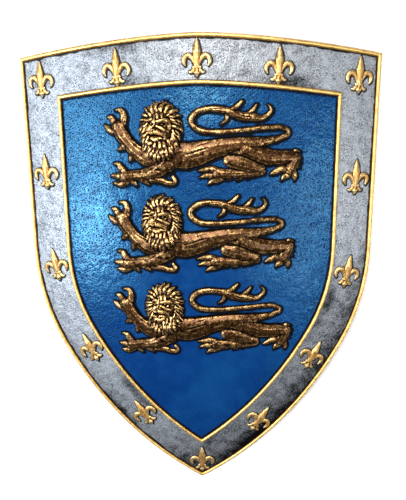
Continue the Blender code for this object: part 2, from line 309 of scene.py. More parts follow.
def mark(mesh, name, values):
    """Store one number on every point for the materials to read."""
    layer = mesh.attributes.get(name) or mesh.attributes.new(name, "FLOAT", "POINT")
    layer.data.foreach_set("value", np.asarray(values, dtype=np.float32))


def marked(mesh, name):
    """The numbers stored on the mesh's points under that name."""
    values = np.empty(len(mesh.vertices), dtype=np.float32)
    mesh.attributes[name].data.foreach_get("value", values)
    return values


def to_mesh(bm, name):
    """Mesh of a bmesh, facing outwards."""
    bmesh.ops.recalc_face_normals(bm, faces=bm.faces)
    mesh = bpy.data.meshes.new(name)
    bm.to_mesh(mesh)
    bm.free()
    return mesh


def evaluated_mesh(thing):
    """Mesh of an object with its modifiers applied, which takes the object's place."""
    mesh = bpy.data.meshes.new_from_object(thing.evaluated_get(bpy.context.evaluated_depsgraph_get()))
    bpy.data.objects.remove(thing)
    return mesh


def loose_object(name, data):
    """Object for a mesh or curve, in the scene."""
    made = bpy.data.objects.new(name, data)
    bpy.context.scene.collection.objects.link(made)
    return made


def averaged(values, edges, rounds):
    """Values on points, evened out with their neighbours' several times."""
    count = len(values)
    links = np.bincount(edges.ravel(), minlength=count)[:, None]
    for _ in range(rounds):
        total = np.stack([np.bincount(edges[:, 0], values[edges[:, 1], axis], count)
                          + np.bincount(edges[:, 1], values[edges[:, 0], axis], count)
                          for axis in range(values.shape[1])], 1)
        values = (values + total / np.maximum(links, 1)) / 2
    return values


def edge_pairs(mesh):
    """The mesh's edges as rows of two point numbers."""
    pairs = np.empty(len(mesh.edges) * 2, dtype=np.int64)
    mesh.edges.foreach_get("vertices", pairs)
    return pairs.reshape(-1, 2)


EVENING_ROUNDS = (3, 12)      # for fine and for broad relief


def mark_high_and_low(mesh, full):
    """Mark how far each point stands out of, or lies in, the surface around it; full counts as 1."""
    edges, places = edge_pairs(mesh), positions(mesh)
    normals = np.empty(len(places) * 3, dtype=np.float32)
    mesh.vertex_normals.foreach_get("vector", normals)
    normals = normals.reshape(-1, 3)
    stand = np.zeros(len(places))
    for rounds in EVENING_ROUNDS:
        around = averaged(places, edges, rounds)
        stand += ((places - around) * normals).sum(1) / math.sqrt(rounds / EVENING_ROUNDS[0])
    mark(mesh, "high", np.clip(stand / full, 0, 1))
    mark(mesh, "low", np.clip(-stand / full, 0, 1))


def finish_piece(name, mesh, material):
    """Paint a mesh and hand it over as a piece of the shield."""
    mesh.name = name
    mesh.materials.clear()
    mesh.materials.append(material)
    mesh.shade_smooth()
    piece = loose_object(name, mesh)
    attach(piece, BODY)
    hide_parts(NODE)


def roll_and_finish(name, mesh, material):
    """Roll a flat mesh onto the shield's curve, then paint it and hand it over."""
    move_points(mesh, on_the_curve(positions(mesh)))
    finish_piece(name, mesh, material)


def ring(name, around, section):
    """Closed ring that follows the outline; section holds its inset and height pairs in order."""
    rows = section + section[:1]
    bm = bmesh.new()
    bmesh.ops.create_grid(bm, x_segments=len(around) - 1, y_segments=len(rows) - 1, size=1.0)
    mesh = to_mesh(bm, name)
    places = positions(mesh)
    column = np.round((places[:, 0] + 1) / 2 * (len(around) - 1)).astype(int)
    row = np.round((places[:, 1] + 1) / 2 * (len(rows) - 1)).astype(int)
    inset, height = np.array(rows)[row].T
    u, v = outline_at(around[column], inset)
    move_points(mesh, np.stack([u, v, height], 1))
    mark(mesh, "inset", inset)
    bm = bmesh.new()
    bm.from_mesh(mesh)
    bpy.data.meshes.remove(mesh)
    bmesh.ops.remove_doubles(bm, verts=bm.verts, dist=1e-6)
    return to_mesh(bm, name)


# ---------------------------------------------------------------- bars: the reliefs' raw shapes
BLUNT = 1.75          # a bar's end wider than this, in millimetres, is rounded off with a ball


def bars_mesh(name, bars):
    """Mesh of round tapered bars, rounded at both ends; points are x, y, lift, half width in mm."""
    curve = bpy.data.curves.new(name, "CURVE")
    curve.dimensions = "3D"
    curve.bevel_depth = 1.0
    curve.bevel_resolution = 3
    curve.resolution_u = 8
    curve.use_fill_caps = True
    for bar in bars:
        spline = curve.splines.new("BEZIER")
        spline.bezier_points.add(len(bar) - 1)
        for point, (x, y, lift, width) in zip(spline.bezier_points, bar):
            point.co = (x * MM, y * MM, lift * MM)
            point.radius = width * MM
            point.handle_left_type = "AUTO"
            point.handle_right_type = "AUTO"
    bm = bmesh.new()
    for bar in bars:
        for x, y, lift, width in (bar[0], bar[-1]):
            if width > BLUNT:
                place = Matrix.Translation((x * MM, y * MM, lift * MM))
                bmesh.ops.create_icosphere(bm, subdivisions=2, radius=width * MM, matrix=place)
    bm.from_mesh(evaluated_mesh(loose_object(name, curve)))
    bmesh.ops.remove_doubles(bm, verts=bm.verts, dist=1e-6)
    return to_mesh(bm, name)


def one_skin(bars, grain):
    """Bars melted into one low relief with a flat root below the ground."""
    thing = loose_object("bars", bars_mesh("bars", bars))
    thing.data.transform(Matrix.Diagonal((1, 1, RELIEF_FLATNESS, 1)))
    remesh = thing.modifiers.new("One skin", "REMESH")
    remesh.mode = "VOXEL"
    remesh.voxel_size = grain
    bm = bmesh.new()
    bm.from_mesh(evaluated_mesh(thing))
    bmesh.ops.bisect_plane(bm, geom=bm.verts[:] + bm.edges[:] + bm.faces[:],
                           plane_co=(0, 0, -RELIEF_ROOT), plane_no=(0, 0, -1), clear_outer=True)
    bmesh.ops.holes_fill(bm, edges=[edge for edge in bm.edges if edge.is_boundary])
    mesh = to_mesh(bm, "relief")
    places = positions(mesh)
    smooth = averaged(places, edge_pairs(mesh), 1)
    smooth[:, 2] = np.where(places[:, 2] < -RELIEF_ROOT / 2, places[:, 2], smooth[:, 2])
    move_points(mesh, smooth)
    return mesh


def nearest_on_run(places, run):
    """Plan distance of each place to a run of points, and how far along the run, 0 to 1."""
    best = np.full(len(places), np.inf)
    along = np.zeros(len(places))
    run = np.array(run, dtype=float)
    for number, (start, end) in enumerate(zip(run, run[1:])):
        way = end - start
        part = np.clip(((places[:, :2] - start) @ way) / (way @ way), 0, 1)
        away = np.linalg.norm(places[:, :2] - start - part[:, None] * way, axis=1)
        closer = away < best
        best[closer] = away[closer]
        along[closer] = (number + part[closer]) / (len(run) - 1)
    return best, along


GROOVE_TAPER = (0.12, 0.76)     # the stretch of a half wave that a groove's depth follows


def carve(places, run, half_width, depth):
    """Sink a groove along a run of points, in mm; one with more than two points tapers at its ends."""
    away, along = nearest_on_run(places / MM, run)
    wave = np.clip(GROOVE_TAPER[0] + GROOVE_TAPER[1] * along, 0, 1)
    taper = np.sin(np.pi * wave) if len(run) > 2 else 1.0
    sink = depth * MM * np.exp(-(away / half_width) ** 2) * taper
    places[:, 2] -= sink * (places[:, 2] > 0)


# ---------------------------------------------------------------- lion, in millimetres
# Each bar is a run of (x, y, lift, half width) points; the lion's middle is at 0, 0.
LION_BODY = (
    ((-48, -12, -5, 18), (-22, -14, -6, 20), (-8, -12, -5, 18.5), (15, -6, -3, 14),
     (33, -2.5, -2, 12), (55, 0, -1, 10), (75, 1, -1, 8.6)),
    ((56, -7, -1, 11.5), (70, -12, -1, 11.8), (84, -16.5, -1, 11.8), (98, -17.5, 0, 10.2),
     (112, -17.5, 0, 9.4), (121, -18.5, 0, 8.8)),
    ((36, -9, -1, 7), (48, -12, -1, 8)),
    ((120.5, -20, 0, 8.8), (118, -28, 0, 8), (115, -35, 0, 7.6)),
    ((35, -21, 3, 8), (47, -23.5, 3.5, 9.8), (61, -27.5, 3, 9.2), (75, -31.5, 2, 7.2)),
    ((77, -35, 1, 6), (62, -37, 1, 6), (40, -38, 1, 6.2), (20, -37.5, 1, 7.4)),
    ((-110, 23, 0, 9.8), (-105.5, 13, 0, 9.8), (-96, 1, 0, 8.4), (-87, -8, 0, 9.8), (-75, -15, -1, 12.5),
     (-62, -18, -2, 13)),
    ((-104, -42, 0, 8.8), (-92, -40, 0, 7.4), (-76, -38, 0, 8), (-60, -33, 0, 10.5), (-46, -24, -1, 13)),
)
LION_TAIL = (
    ((70, 2, 0, 7), (88, 4.5, 0, 5), (104, 8.5, 0, 3.6), (112, 14, 0, 3.4), (105, 20, 0, 3.3),
     (92, 21, 0, 3.3), (48, 17.5, 0, 3.4), (15, 16, 0, 3.6), (-4, 19, 0, 3.9), (-14, 30, 0, 4),
     (-8, 40, 0, 4), (4, 44.5, 0, 4), (19, 44.5, 0, 4.3), (33, 42, 0, 5), (48, 36, 0, 5.5),
     (64, 34.5, 0, 6), (76, 33, 0, 4), (85, 37, 0, 3), (89, 44, 0, 2.5), (84, 51, 0, 1.2)),
    ((36, 42, 0, 4), (45, 48, 0, 3.2), (51, 54, 0, 2.4)),
    ((58, 36, 0, 4), (66, 44, 0, 2.8), (71, 51, 0, 1.4)),
    ((33, 40, 0, 3.5), (31, 31, 0, 2.6), (23, 25, 0, 1.2)),
    ((46, 35, 0, 3.2), (43, 33.5, 0, 2.2), (40, 32, 0, 0.9)),
)
LION_TUFTS = (
    ((-68, -45, 0, 4.8), (-54, -47, 0, 4.2), (-44, -50, 0, 3.7), (-36.5, -48, 0, 3.2), (-39, -42, 0, 2.8)),
    ((-103, -1, 0, 6), (-112.5, -7, 0, 1.4)),
    ((-103, 3, 0, 4), (-110, 0, 0, 1.6)),
    ((-93, -12, 0, 5.5), (-97, -22, 0, 1.4)),
    ((-90, -12, 0, 4.5), (-93, -20, 0, 1.6)),
    ((-94, -46, 0, 5), (-88, -54, 0, 1.4)),
    ((-80, -44, 0, 5.5), (-71, -52.5, 0, 1.4)),
    ((122, -10, 1, 3.4), (130, -11, 0, 0.9)),
    ((123, -16, 1, 3.4), (131.5, -18, 0, 0.9)),
    ((122, -22, 1, 3.2), (130.5, -25, 0, 0.9)),
    ((121, -28, 1, 3), (129.5, -32, 0, 0.9)),
    ((36, -43, 0, 3.4), (29.5, -46.5, 0, 0.9)),
    ((50, -43, 0, 3.4), (44, -47, 0, 0.9)),
    ((62, -41, 0, 3.4), (57, -45.5, 0, 0.9)),
    ((72, -38, 0, 3.4), (67, -43.5, 0, 0.9)),
)
# A toe is a root, a knuckle, an end and a claw tip.
LION_TOES = (
    ((-104, 28), (-103, 38), (-106, 44), (-115, 45)),
    ((-111, 22), (-117, 31), (-120.5, 35), (-126, 36)),
    ((-114, 17), (-121, 19), (-125, 22), (-130, 27)),
    ((-104, -37), (-109.5, -30), (-112, -26), (-120, -24)),
    ((-106, -42), (-113, -41), (-117, -40.5), (-125, -40.5)),
    ((-102, -47), (-109, -51), (-114, -51), (-121, -50)),
    ((18, -34), (12, -32), (7, -32), (-7, -34)),
    ((18, -39), (11, -40), (6, -40), (-5, -43)),
    ((24, -43), (18, -46), (14, -47), (6, -52)),
    ((116, -36), (104, -33), (96, -36), (88, -40)),
    ((115, -37), (111, -41), (108, -43), (104, -48)),
    ((118, -36), (121, -40), (122, -43), (121, -49)),
)
TOE_WIDTHS = (5.2, 4.5, 3.7, 0.7)
TOE_LIFT = 0.6

HEAD = (
    ((-54, 4, -10, 18), (-54, 16, -9, 23), (-54, 28, -10, 19)),
    ((-50.5, 36, 5.5, 7), (-55, 34.5, 8.5, 7), (-60, 36, 4.5, 5.5)),
    ((-52, 29, 3, 9), (-57, 20, 3.5, 9.5), (-60, 12, 4.5, 6.5)),
    ((-59, 33, 13, 2.6), (-61.5, 28, 14.8, 2.8), (-64, 24, 15.4, 3.1), (-65.8, 20.8, 16, 3)),
    ((-69.2, 20.6, 13.5, 2), (-67.2, 19.4, 15.8, 2.3), (-65, 18.8, 16.2, 2.3), (-62.4, 19.6, 14.8, 1.9)),
    ((-58.5, 29.8, 14, 1.9), (-54, 30.6, 15.5, 2.3), (-48.5, 31.2, 14, 2.8), (-43.8, 28.8, 9.8, 3.6),
     (-41.8, 24.2, 8.2, 3.4), (-42.6, 19.6, 8, 3)),
    ((-61.5, 31.5, 14, 1.8), (-64, 32.6, 12.5, 2.1), (-67.5, 31, 10.5, 2)),
    ((-57, 38.5, 12, 2.2), (-56, 34.5, 14.8, 2)),
    ((-51, 38, 11.5, 2.4), (-51, 34.5, 14, 2)),
    ((-44.5, 17.4, 9.5, 2.8), (-49, 19.6, 12, 2.4), (-54, 22.4, 13, 2), (-58.4, 24.6, 13.5, 1.6)),
    ((-46.5, 12.5, 7, 3), (-51, 11.5, 8, 2.6)),
    ((-65.2, 15.4, 12.5, 2.6), (-68, 15.8, 10, 2)),
    ((-60.8, 16.6, 14.4, 2.9), (-56.6, 15.6, 13.8, 3.4), (-52.8, 13.2, 11, 2.6)),
)
# The lower jaw drops by this much from one lion to the next.
JAW = ((-55, 9.5, 8, 2.6), (-60, 7.6, 10, 2.8), (-64.5, 9.2, 9.5, 2.5))
TONGUE = ((-59.5, 11, 7, 1.9), (-61.5, 8, 8.5, 2))
JAW_DROPS = (1.0, 2.0, 6.0)
MOUTH = ((-68, 13.8), (-64, 12.6), (-58, 12.2), (-53, 11.6), (-50, 9.5))
MOUTH_HALF_WIDTH = 1.1
MOUTH_DEPTH = 4.5
LION_ROUGHNESS = 0.16
# Creases of the face: the run they follow, half width and depth.
FACE_CREASES = (
    (((-61, 23), (-57, 21), (-51.5, 17.8), (-47.5, 14.6)), 0.75, 2.0),
    (((-59.5, 38), (-58.6, 35), (-58.6, 31.5)), 0.8, 1.6),
    (((-53.4, 38), (-53.6, 35), (-55, 32.6)), 0.7, 1.2),
    (((-70, 18.6), (-67.5, 17.2), (-64.5, 16.6), (-61.8, 18)), 0.6, 1.6),
    (((-62.4, 18.4), (-62.3, 14.5)), 0.7, 1.6),
)
# Eyes: middle, and the way they slant; half length, half height and depth of a socket and its ball.
EYES = ((-51.4, 26, 0.12), (-65.2, 27.2, -0.5))
SOCKET = (3.9, 1.8, 3.4)
EYEBALL = (1.5, 1.0, 2.4)

CROWN_MIDDLE = (-54, 18)
CROWN_REACH = (28, 36)
# Rings of locks round the face: where they start and end, how many, half width and rise.
LOCK_RINGS = ((0.70, 1.06, 42, 1.5, 1.4), (0.57, 0.94, 32, 1.5, 2.4))
# Curls over the forehead: x, y and half width along each.
CROWN_CURLS = (
    ((-62, 40.5, 1.8), (-64.5, 46.5, 2.6), (-60, 52.5, 1.2)),
    ((-57.5, 42, 2.0), (-59, 48, 3.0), (-53, 54, 1.4)),
    ((-52, 42, 2.0), (-52, 48, 3.0), (-45.5, 53, 1.4)),
    ((-47, 41, 2.0), (-44.5, 46.5, 2.9), (-38, 49.5, 1.3)),
    ((-43, 37.5, 2.0), (-38, 42, 2.8), (-31, 43, 1.3)),
)
CURL_LIFT = 2.2
# How far the locks lean over, in radians: those on the crown, and those at the sides.
CROWN_SWIRL = 0.2
SIDE_SWIRL = 0.3
# The rounded mass under the mane, as rings: share of the reach, lift and half width.
MANE_MASS = ((0.80, 0, 5.4), (0.60, 2, 5.6))
MANE_MASS_STEPS = 14
# Tips of the pointed locks on the chest, tier by tier.
CHEST_TIERS = (
    ((-74, -1), (-68, -4), (-62, -7), (-55, -8), (-48, -7), (-41, -5), (-34, -1)),
    ((-76, -7), (-71, -11), (-65, -14), (-58, -15), (-51, -15), (-44, -13), (-37, -9), (-31, -5)),
    ((-68, -18), (-62, -21), (-56, -22), (-50, -22), (-43, -19), (-37, -15)),
)


def heights_on(tree, run):
    """Height in millimetres of a relief under each point of a run."""
    found = [tree.ray_cast(Vector((x * MM, y * MM, 0.1)), Vector((0, 0, -1)))[0] for x, y in run]
    return [place.z / MM if place else 0.0 for place in found]


# At a lock's root, middle and tip: its share of the rise, and its share of the width.
LOCK_RISES = (0.6, 1.1, 0.3)
LOCK_WIDTHS = (0.8, 1, 0.4)


def laid_lock(tree, root, tip, width, sweep, rise):
    """One lock of hair lying on a relief from root to tip, bowed to one side by sweep."""
    root, tip = Vector(root), Vector(tip)
    middle = (root + tip) / 2 + (tip - root).orthogonal() * sweep
    run = (root, middle, tip)
    return [(x, y, height / RELIEF_FLATNESS + up * rise, part * width)
            for (x, y), height, up, part in zip(run, heights_on(tree, run), LOCK_RISES, LOCK_WIDTHS)]


def mane_locks(tree, seed):
    """Bars of the mane: rings of locks round the face and tiers of pointed locks on the chest."""
    random = np.random.default_rng(seed)
    middle = Vector(CROWN_MIDDLE)
    bars = []
    for ring_number, (start, end, count, width, rise) in enumerate(LOCK_RINGS):
        for number in range(count):
            turn = 2 * math.pi * (number + 0.5 * ring_number + random.uniform(-0.25, 0.25)) / count
            crown = max(0.0, math.sin(turn)) ** 2
            swirl = -CROWN_SWIRL * crown - SIDE_SWIRL * math.cos(turn) + random.uniform(-0.05, 0.05)
            root = Vector((math.cos(turn) * CROWN_REACH[0], math.sin(turn) * CROWN_REACH[1]))
            root *= start + 0.1 * max(0.0, math.sin(turn))
            tip = Vector((math.cos(turn + swirl) * CROWN_REACH[0],
                          math.sin(turn + swirl) * CROWN_REACH[1]))
            tip *= end * random.uniform(0.93, 1.05)
            bars.append(laid_lock(tree, middle + root, middle + tip,
                                  width * (1 + 0.3 * crown) * random.uniform(0.85, 1.15),
                                  random.uniform(-0.16, 0.16), rise))
    for curl in CROWN_CURLS:
        heights = heights_on(tree, [place[:2] for place in curl])
        bars.append([(x, y, height / RELIEF_FLATNESS + CURL_LIFT, width)
                     for (x, y, width), height in zip(curl, heights)])
    for tips in CHEST_TIERS:
        for x, y in tips:
            root = (x - (x + 55) * 0.2, y + random.uniform(9, 11))
            bars.append(laid_lock(tree, root, (x, y + random.uniform(-1, 1)), random.uniform(2.1, 2.5),
                                  random.uniform(-0.1, 0.1), 1.8))
    return bars


def mane_mass():
    """Bars of the rounded mass under the mane."""
    bars = []
    for reach, lift, width in MANE_MASS:
        turns = [2 * math.pi * step / MANE_MASS_STEPS for step in range(MANE_MASS_STEPS + 1)]
        bars.append([(CROWN_MIDDLE[0] + math.cos(turn) * CROWN_REACH[0] * reach,
                      CROWN_MIDDLE[1] + math.sin(turn) * CROWN_REACH[1] * reach, lift, width)
                     for turn in turns])
    return bars


def lion_skin(number):
    """Raw flat relief of one lion, before its grooves."""
    body = list(LION_BODY + LION_TAIL + LION_TUFTS) + mane_mass()
    for toe in LION_TOES:
        body.append([(x, y, TOE_LIFT, width) for (x, y), width in zip(toe, TOE_WIDTHS)])
    head = [*HEAD, [(x, y - JAW_DROPS[number], lift, width) for x, y, lift, width in JAW],
            [(x, y - JAW_DROPS[number] / 2, lift, width) for x, y, lift, width in TONGUE]]
    base = one_skin(body + [HEAD[0]], COARSE_RELIEF)
    bm = bmesh.new()
    bm.from_mesh(base)
    tree = BVHTree.FromBMesh(bm)
    bm.free()
    bpy.data.meshes.remove(base)
    return one_skin(body + head + mane_locks(tree, number), bpy.context.scene.shield_sizes.lion_grain)


BODY_HEIGHT = 0.0085      # the bodies flatten out towards this height; the heads stand higher

# Grooves in a lion: the run they follow, half width and depth.
LION_GROOVES = (
    (((-23, -13), (-12, -10), (-3, -7), (7, -4)), 1.3, 1.5),
    (((-32, -32), (-27, -22), (-28, -12)), 4.0, 1.6),
    (((-66, -30), (-52, -34), (-38, -31)), 2.5, 1.6),
    (((34, -11.5), (44, -12.5), (56, -16.5), (68, -22.5), (79, -27)), 1.3, 1.6),
    (((66, -5), (76, -6), (86, -4), (98, -7)), 3.0, 0.8),
    (((-10, -3), (-2, 0), (8, 3)), 1.0, 0.5),
    (((-18, -17), (-8, -16), (2, -12)), 1.6, 0.6),
    (((-92, 4), (-84, -3), (-74, -8)), 1.6, 0.7),
    (((-86, -36), (-74, -35), (-62, -28)), 1.6, 0.7),
    (((62, 34), (54, 35.5), (44, 39)), 0.9, 0.5),
    (((30, 44), (22, 45), (10, 45)), 0.8, 0.4),
)


def sculpted_lion(number):
    """Flat mesh of one lion with its grooves, eye sockets, mouth and hair streaks."""
    name = f"flat lion {number + 1}"
    if name in bpy.data.meshes:
        return bpy.data.meshes[name]
    mesh = lion_skin(number)
    mesh.name = name
    places = positions(mesh)
    for run, half_width, depth in LION_GROOVES + FACE_CREASES:
        carve(places, run, half_width, depth)
    for x, y, slant in EYES:
        across, up = places[:, 0] / MM - x, places[:, 1] / MM - y
        long = across * math.cos(slant) + up * math.sin(slant)
        tall = up * math.cos(slant) - across * math.sin(slant)
        socket = np.exp(-(long / SOCKET[0]) ** 4 - (tall / SOCKET[1]) ** 4)
        ball = np.exp(-(long / EYEBALL[0]) ** 2 - (tall / EYEBALL[1]) ** 2)
        places[:, 2] -= (SOCKET[2] * socket - EYEBALL[2] * ball) * MM * (places[:, 2] > 0)
    mouth = [(x, y - JAW_DROPS[number] / 3) for x, y in MOUTH]
    carve(places, mouth, MOUTH_HALF_WIDTH + JAW_DROPS[number] / 6, MOUTH_DEPTH)
    rough = cloud(places[:, 0], places[:, 1], 0.009, 50 + number, 3)
    raised = fade(places[:, 2], 0.5 * MM, 3 * MM)
    places[:, 2] += rough * LION_ROUGHNESS * MM * raised
    reach = np.hypot((places[:, 0] / MM - CROWN_MIDDLE[0]) / CROWN_REACH[0],
                     (places[:, 1] / MM - CROWN_MIDDLE[1]) / CROWN_REACH[1])
    flatter = np.where(places[:, 2] > 0, BODY_HEIGHT * np.tanh(places[:, 2] / BODY_HEIGHT), places[:, 2])
    places[:, 2] += (flatter - places[:, 2]) * fade(reach, 0.8, 1.2)
    move_points(mesh, places)
    mark(mesh, "height", positions(mesh)[:, 2])
    return mesh


# ---------------------------------------------------------------- fleur-de-lis, in millimetres
FLEUR_MIDDLE = (
    ((0, 24, 0, 0.6), (0, 16, 0, 3.4), (0, 7, 0, 5.6), (0, -1, 0, 4.8), (0, -9, 0, 4.2)),
    ((-4.4, -12, 1, 1.8), (0, -12.2, 1.6, 1.8), (4.4, -12, 1, 1.8)),
    ((0, -13, 0, 2.8), (0, -15.5, 0, 3), (0, -19, 0, 4.4), (0, -24.8, 0, 0.6)),
)
FLEUR_SIDE = (
    ((2, -8, 0, 2.6), (6, -1, 0, 3.2), (11, 2.2, 0, 3.6), (15.6, -1, 0, 3.2), (16.4, -6, 0, 2.7),
     (14, -11.5, 0, 0.9)),
    ((2, -12.8, 0, 2.1), (4.8, -16.2, 0, 2.6), (8, -18.2, 0, 2.1), (10.6, -16.6, 0, 0.8)),
)


def sculpted_fleur():
    """Flat mesh of the fleur-de-lis."""
    name = "flat fleur"
    if name in bpy.data.meshes:
        return bpy.data.meshes[name]
    bars = list(FLEUR_MIDDLE)
    for side in (1, -1):
        bars += [[(side * x, y, lift, width) for x, y, lift, width in bar] for bar in FLEUR_SIDE]
    mesh = one_skin(bars, bpy.context.scene.shield_sizes.fleur_grain)
    mesh.name = name
    mark(mesh, "height", positions(mesh)[:, 2])
    return mesh


def fleur_places():
    """Place and lean of each of the fourteen fleurs-de-lis."""
    places = list(FLEUR_MIDDLES)
    for side in (1, -1):
        places += [(side * u, v, side * lean) for u, v, lean in FLEUR_TOPS]
        places += [(side * u, v - side * FLEUR_HAND_SLIP, side * lean) for u, v, lean in FLEUR_SIDES]
    return places


def placed(mesh, u, v, lean_degrees=0.0, size=1.0):
    """Copy of a flat mesh at a place on the sheet, leaning clockwise, scaled in its plane."""
    copy = mesh.copy()
    copy.transform(Matrix.Translation((u, v, 0)) @ Matrix.Rotation(-math.radians(lean_degrees), 4, "Z")
                   @ Matrix.Diagonal((size, size, 1, 1)))
    return copy


FOOT_BAND = 0.4 * MM      # a relief's points this near the ground are its foot


def foot_tree(meshes):
    """Search tree of the points where flat reliefs meet the ground."""
    points = np.concatenate([positions(mesh)[np.abs(marked(mesh, "height")) < FOOT_BAND]
                             for mesh in meshes])
    points[:, 2] = 0
    tree = KDTree(len(points))
    for number, point in enumerate(points):
        tree.insert(point, number)
    tree.balance()
    return tree


def foot_distance(places, meshes):
    """Plan distance from each point to the foot of the nearest relief."""
    tree = foot_tree(meshes)
    return np.array([tree.find(place)[2] for place in places * (1, 1, 0)])


# ---------------------------------------------------------------- materials
FIELD_SHEEN = (0.12, 0.66, 1.0, 1.0)
# Pit distances where the dark starts and is full; the dent's dark then goes from nothing to this much.
PAINTED_PIT = (1.35, 0.55)
PAINTED_DENT = (1.3, 0.6, 0.0, 0.8)
BACK_MOTTLE = 2.4         # how much lighter the back's mottling gets
FLEUR_GROUND = (0.62, 0.5, 0.4)        # shares of the gold's red, green and blue
# The rims' browner gold, shown on their sides below the crest, is partly painted shade.
RIM_GROUND = (0.5, 0.34, 0.16)


class Paint:
    """A node material built up from the shader backwards."""

    def __init__(self, name, metallic=0.0):
        self.material = bpy.data.materials.get(name) or bpy.data.materials.new(name)
        self.material.use_nodes = True
        self.tree = self.material.node_tree
        self.tree.nodes.clear()
        self.shader = self.node("ShaderNodeBsdfPrincipled")
        self.look("Metallic", metallic)
        output = self.node("ShaderNodeOutputMaterial")
        self.tree.links.new(self.shader.outputs["BSDF"], output.inputs["Surface"])
        self.places = self.node("ShaderNodeTexCoord").outputs["Object"]

    def node(self, kind, **settings):
        """New node with the given settings."""
        made = self.tree.nodes.new(kind)
        for key, value in settings.items():
            setattr(made, key, value)
        return made

    def feed(self, socket, source):
        """Connect a socket, or set a plain number or colour on it."""
        if isinstance(source, bpy.types.NodeSocket):
            self.tree.links.new(source, socket)
        else:
            socket.default_value = source

    def look(self, name, source):
        """Set or connect one of the shader's inputs."""
        self.feed(self.shader.inputs[name], source)

    def noise(self, size, detail):
        """Cloudy number about size metres across, centred on a half."""
        made = self.node("ShaderNodeTexNoise")
        for key, source in (("Vector", self.places), ("Scale", 1 / size), ("Detail", detail)):
            self.feed(made.inputs[key], source)
        return made.outputs["Fac"]

    def patches(self, size, detail, low, high, to_low=0.0, to_high=1.0):
        """Cloudy number whose range low to high is spread over another range."""
        return self.between(self.noise(size, detail), low, high, to_low, to_high)

    def attribute(self, name):
        """Number stored on the surface."""
        return self.node("ShaderNodeAttribute", attribute_name=name).outputs["Fac"]

    def wavered(self, place, size):
        """A coordinate made to waver a little, so that what is drawn with it has an uneven edge."""
        centred = self.maths("SUBTRACT", place, WAVER / 2)
        return self.maths("MULTIPLY_ADD", self.noise(size, 1.0), WAVER, centred)

    def pit_distance(self, spacing):
        """Distance to the nearest pit in pit radii, worked out as for the mesh."""
        up = self.maths("DIVIDE", self.wavered(self.attribute("grid_v"), 0.0024), spacing)
        row = self.maths("FLOOR", up)
        along = self.maths("DIVIDE", self.wavered(self.attribute("grid_u"), 0.0021), spacing)
        along = self.maths("ADD", along, self.maths("MULTIPLY", row, 0.5))
        cell = self.maths("FLOOR", along)
        chances = []
        for a, b in CHANCE_STEPS:
            turn = self.maths("ADD", self.maths("MULTIPLY", cell, a), self.maths("MULTIPLY", row, b))
            wide = self.maths("MULTIPLY", self.maths("SINE", turn), CHANCE_SCALE)
            chances.append(self.maths("FRACT", wide))
        ways = []
        for place, whole, chance in ((along, cell, chances[0]), (up, row, chances[1])):
            shift = self.maths("MULTIPLY_ADD", chance, PIT_SHIFT, 0.5 - 0.5 * PIT_SHIFT)
            way = self.maths("SUBTRACT", self.maths("SUBTRACT", place, whole), shift)
            ways.append(self.maths("MULTIPLY", way, way))
        away = self.maths("SQRT", self.maths("ADD", *ways))
        reach = self.maths("MULTIPLY_ADD", chances[2], PIT_SIZES[1] * PIT_REACH, PIT_SIZES[0] * PIT_REACH)
        return self.maths("DIVIDE", away, reach)

    def between(self, value, low, high, to_low=0.0, to_high=1.0):
        """The value's range low to high spread over another range, and held at its ends."""
        made = self.node("ShaderNodeMapRange", interpolation_type="SMOOTHSTEP")
        for key, source in zip(("Value", "From Min", "From Max", "To Min", "To Max"),
                               (value, low, high, to_low, to_high)):
            self.feed(made.inputs[key], source)
        return made.outputs["Result"]

    def maths(self, operation, *numbers):
        """One sum on up to three numbers."""
        made = self.node("ShaderNodeMath", operation=operation)
        for socket, number in zip(made.inputs, numbers):
            self.feed(socket, number)
        return made.outputs["Value"]

    def mixed(self, amount, first, second):
        """Colour part way from first to second."""
        made = self.node("ShaderNodeMix", data_type="RGBA")
        self.feed(made.inputs["Factor"], amount)
        self.feed(made.inputs["A"], first)
        self.feed(made.inputs["B"], second)
        return made.outputs["Result"]

    def bump(self, height, distance, strength):
        """Fine relief for the shader."""
        made = self.node("ShaderNodeBump")
        for key, source in (("Strength", strength), ("Distance", distance), ("Height", height)):
            self.feed(made.inputs[key], source)
        self.look("Normal", made.outputs["Normal"])

    def antiqued_and_shaded(self, dark, colour, full, finish):
        """Cover a colour with the dark wash and painted shadow; each finish is at its second value where
        dark reaches full.
        """
        wash_and_shadow = opaque(bpy.context.scene.shield_paints.wash_and_shadow)
        self.look("Base Color", self.mixed(dark, colour, wash_and_shadow))
        for name, (clean, dull) in finish.items():
            self.look(name, self.between(dark, 0.0, full, clean, dull))


def opaque(colour):
    """A picked colour with its alpha."""
    return (*colour, 1.0)


